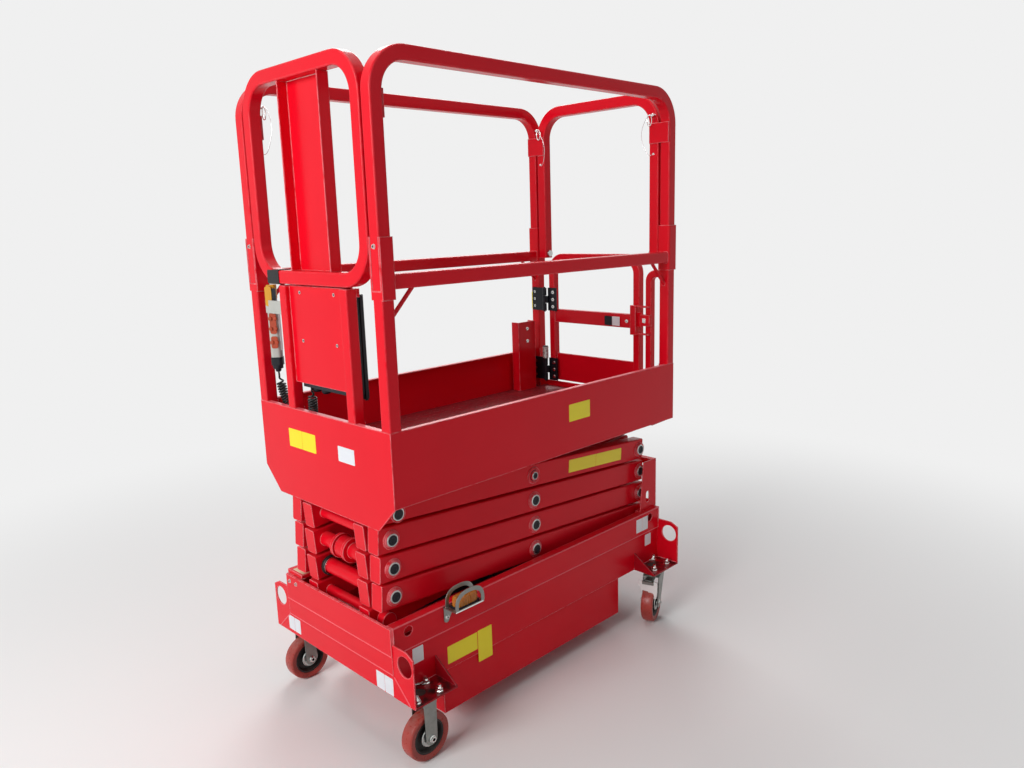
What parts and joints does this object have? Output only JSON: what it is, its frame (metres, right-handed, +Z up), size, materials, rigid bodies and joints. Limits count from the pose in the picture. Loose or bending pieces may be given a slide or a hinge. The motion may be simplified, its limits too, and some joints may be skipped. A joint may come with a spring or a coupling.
{
  "type": "scissor lift",
  "caption": "Push around scissor lift with a narrow guarded platform on a stack of scissor arms, stored lowered, on fixed and swivel casters.",
  "frame": {"origin": "floor level under the middle of the machine", "axes": "+X towards the gate and swivel casters, +Y towards the far long side, +Z up"},
  "size_m": [1.33, 0.76, 1.998],
  "materials": {
    "red_paint": "glossy powder coat",
    "caster_tread": "satin polyurethane",
    "zinc_steel": "zinc plated",
    "black_plastic": "moulded",
    "cord_rubber": "satin",
    "yellow_plastic": "moulded",
    "deck_steel": "painted checker plate",
    "black_paint": "gloss",
    "amber_lens": "glossy moulded lens"
  },
  "bodies": {
    "chassis": {"chassis_sides": "red_paint", "chassis_end_plates": "red_paint", "caster_decks": "red_paint", "belly_skirt": "red_paint", "battery_and_pump": "black_plastic", "slide_tracks": "red_paint", "entry_step": "red_paint", "corner_bracket": "red_paint", "warning_lamp": "amber_lens", "lamp_cage": "zinc_steel", "front_forks": "zinc_steel", "swivel_plates": "zinc_steel"},
    "swivel_near": {"swivel_fork_near": "zinc_steel"},
    "swivel_far": {"swivel_fork_far": "zinc_steel"},
    "front_wheel_near": {"front_wheel_near": "caster_tread"},
    "front_wheel_far": {"front_wheel_far": "caster_tread"},
    "rear_wheel_near": {"rear_wheel_near": "caster_tread"},
    "rear_wheel_far": {"rear_wheel_far": "caster_tread"},
    "barrel": {"lift_barrel": "black_paint"},
    "rod": {"lift_rod": "zinc_steel"},
    "platform": {"platform_tray": "red_paint", "deck_plate": "deck_steel", "platform_beams": "red_paint", "side_rails": "red_paint", "side_frame_near": "red_paint", "side_frame_far": "red_paint", "front_panel": "red_paint", "junction_box": "black_plastic", "pendant": "yellow_plastic", "pendant_clip": "red_paint", "curly_cord": "cord_rubber", "stub_bracket": "red_paint", "gate_post": "red_paint", "gate_hinges_fixed": "black_plastic", "rear_pivots": "zinc_steel"},
    "gate": {"gate_frame": "red_paint", "gate_latch": "red_paint", "gate_hinges_moving": "black_plastic"},
    "front_loop": {"front_loop": "red_paint", "front_column": "red_paint"},
    "rear_frame": {"rear_frame": "red_paint"},
    "outer_1": {"outer_arms_1": "red_paint"},
    "inner_1": {"inner_arms_1": "red_paint", "pivot_pins_1": "zinc_steel"},
    "outer_2": {"outer_arms_2": "red_paint"},
    "inner_2": {"inner_arms_2": "red_paint", "pivot_pins_2": "zinc_steel"},
    "outer_3": {"outer_arms_3": "red_paint"},
    "inner_3": {"inner_arms_3": "red_paint", "pivot_pins_3": "zinc_steel"},
    "outer_4": {"outer_arms_4": "red_paint"},
    "inner_4": {"inner_arms_4": "red_paint", "pivot_pins_4": "zinc_steel"}
  },
  "joints": [
    {"name": "lift", "type": "hinge", "parent": "chassis", "child": "outer_1", "pos_m": [0.602, 0, 0.399], "axis": [0, 1, 0], "range_deg": [0, 42.72]},
    {"name": "left_pivot_1", "type": "hinge", "parent": "outer_1", "child": "inner_2", "pos_m": [-0.602, 0, 0.487], "axis": [0, 1, 0], "range_deg": [-85.94, 0]},
    {"name": "right_pivot_2", "type": "hinge", "parent": "inner_2", "child": "outer_3", "pos_m": [0.602, 0, 0.575], "axis": [0, 1, 0], "range_deg": [0, 85.94]},
    {"name": "left_pivot_3", "type": "hinge", "parent": "outer_3", "child": "inner_4", "pos_m": [-0.602, 0, 0.663], "axis": [0, 1, 0], "range_deg": [-85.94, 0]},
    {"name": "platform_pivot", "type": "hinge", "parent": "inner_4", "child": "platform", "pos_m": [0.602, 0, 0.751], "axis": [0, 1, 0], "range_deg": [0, 43.22]},
    {"name": "centre_pivot_1", "type": "hinge", "parent": "outer_1", "child": "inner_1", "pos_m": [0, 0, 0.443], "axis": [0, 1, 0], "range_deg": [-85.94, 0]},
    {"name": "centre_pivot_2", "type": "hinge", "parent": "inner_2", "child": "outer_2", "pos_m": [0, 0, 0.531], "axis": [0, 1, 0], "range_deg": [0, 85.94]},
    {"name": "centre_pivot_3", "type": "hinge", "parent": "outer_3", "child": "inner_3", "pos_m": [0, 0, 0.619], "axis": [0, 1, 0], "range_deg": [-85.94, 0]},
    {"name": "centre_pivot_4", "type": "hinge", "parent": "inner_4", "child": "outer_4", "pos_m": [0, 0, 0.707], "axis": [0, 1, 0], "range_deg": [0, 85.94]},
    {"name": "barrel_pivot", "type": "hinge", "parent": "inner_1", "child": "barrel", "pos_m": [0.301, 0, 0.465], "axis": [0, 1, 0], "range_deg": [0, 96.96]},
    {"name": "rod_slide", "type": "slide", "parent": "barrel", "child": "rod", "axis": [-0.9927, 0, 0.1209], "range_m": [0, 0.3559]},
    {"name": "gate_hinge", "type": "hinge", "parent": "platform", "child": "gate", "pos_m": [0.613, 0.262, 1.1], "axis": [0, 0, -1], "range_deg": [0, 90], "stiffness_Nm_per_rad": 3},
    {"name": "front_loop_fold", "type": "hinge", "parent": "platform", "child": "front_loop", "pos_m": [-0.619, 0, 1.398], "axis": [0, 1, 0], "range_deg": [0, 84]},
    {"name": "rear_frame_fold", "type": "hinge", "parent": "platform", "child": "rear_frame", "pos_m": [0.645, 0, 1.418], "axis": [0, -1, 0], "range_deg": [0, 84]},
    {"name": "swivel_near_turn", "type": "hinge", "parent": "chassis", "child": "swivel_near", "pos_m": [0.583, -0.32, 0.19], "axis": [0, 0, 1], "continuous": true},
    {"name": "front_wheel_near_spin", "type": "hinge", "parent": "chassis", "child": "front_wheel_near", "pos_m": [-0.59, -0.328, 0.075], "axis": [0, 1, 0], "continuous": true},
    {"name": "rear_wheel_near_spin", "type": "hinge", "parent": "swivel_near", "child": "rear_wheel_near", "pos_m": [0.54541, -0.33368, 0.075], "axis": [-0.342, 0.9397, 0], "continuous": true},
    {"name": "swivel_far_turn", "type": "hinge", "parent": "chassis", "child": "swivel_far", "pos_m": [0.583, 0.32, 0.19], "axis": [0, 0, 1], "continuous": true},
    {"name": "front_wheel_far_spin", "type": "hinge", "parent": "chassis", "child": "front_wheel_far", "pos_m": [-0.59, 0.328, 0.075], "axis": [0, 1, 0], "continuous": true},
    {"name": "rear_wheel_far_spin", "type": "hinge", "parent": "swivel_far", "child": "rear_wheel_far", "pos_m": [0.54541, 0.30632, 0.075], "axis": [-0.342, 0.9397, 0], "continuous": true}
  ],
  "couplings": [
    {"joint": "left_pivot_1", "follows": "lift", "ratio": -2},
    {"joint": "right_pivot_2", "follows": "lift", "ratio": 2},
    {"joint": "left_pivot_3", "follows": "lift", "ratio": -2},
    {"joint": "platform_pivot", "follows": "lift", "ratio": 1},
    {"joint": "centre_pivot_1", "follows": "lift", "ratio": -2},
    {"joint": "centre_pivot_2", "follows": "lift", "ratio": 2},
    {"joint": "centre_pivot_3", "follows": "lift", "ratio": -2},
    {"joint": "centre_pivot_4", "follows": "lift", "ratio": 2},
    {"joint": "barrel_pivot", "follows": "lift", "ratio": 2.258},
    {"joint": "rod_slide", "follows": "lift", "m_per_rad": 0.4747}
  ]
}
